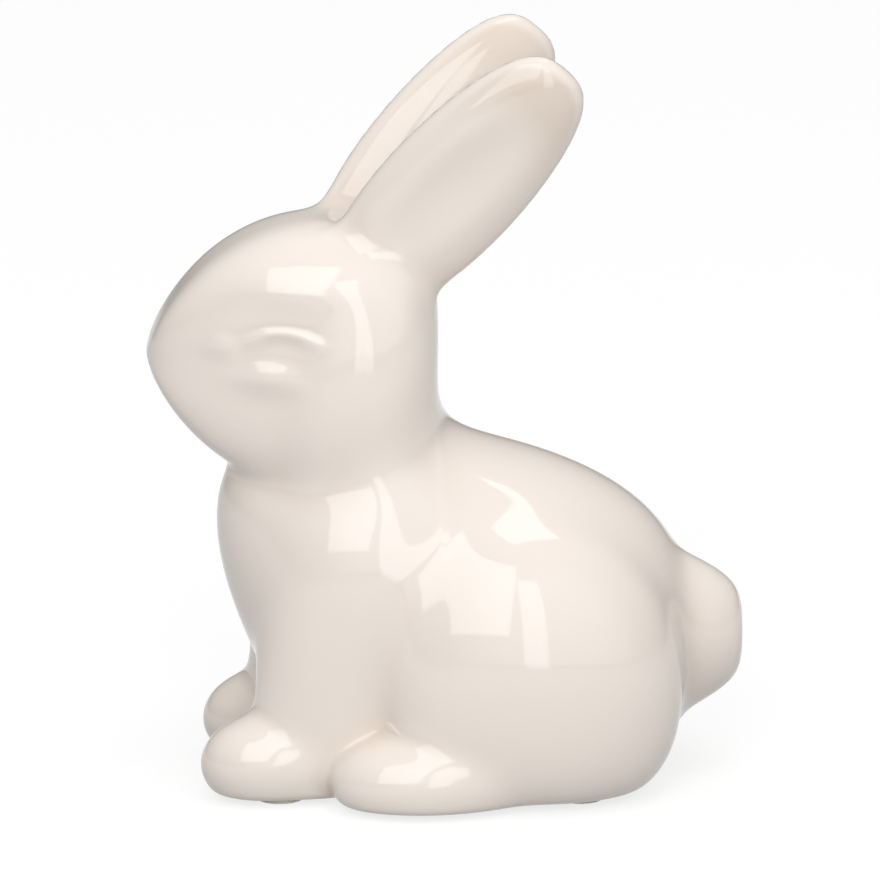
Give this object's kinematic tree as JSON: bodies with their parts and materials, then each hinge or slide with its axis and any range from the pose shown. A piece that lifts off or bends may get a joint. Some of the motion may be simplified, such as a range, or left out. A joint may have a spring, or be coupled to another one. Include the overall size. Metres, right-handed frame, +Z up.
{
  "type": "rabbit figurine",
  "caption": "Sitting ceramic rabbit ornament with upright ears, hollow cast and glazed white, standing on small felt pads.",
  "frame": {"origin": "on the table plane under the felt pads, midway between nose and tail and between the two flanks", "axes": "+Z up through the ears, -Y the way the rabbit faces, +X its left side"},
  "size_m": [0.068, 0.1174, 0.1498],
  "materials": {
    "glaze": "glossy warm white glaze",
    "lute": "fired slip under the glaze",
    "felt": "pressed wool felt"
  },
  "bodies": {
    "root": {"torso": "glaze", "head": "glaze", "left_ear": "glaze", "right_ear": "glaze", "left_foreleg": "glaze", "right_foreleg": "glaze", "left_hind_foot": "glaze", "right_hind_foot": "glaze", "tail": "glaze", "neck_lute": "lute", "left_ear_lute": "lute", "right_ear_lute": "lute", "left_foreleg_lute": "lute", "right_foreleg_lute": "lute", "left_hind_foot_lute": "lute", "right_hind_foot_lute": "lute", "tail_lute": "lute", "felt_pads": "felt"}
  },
  "joints": []
}
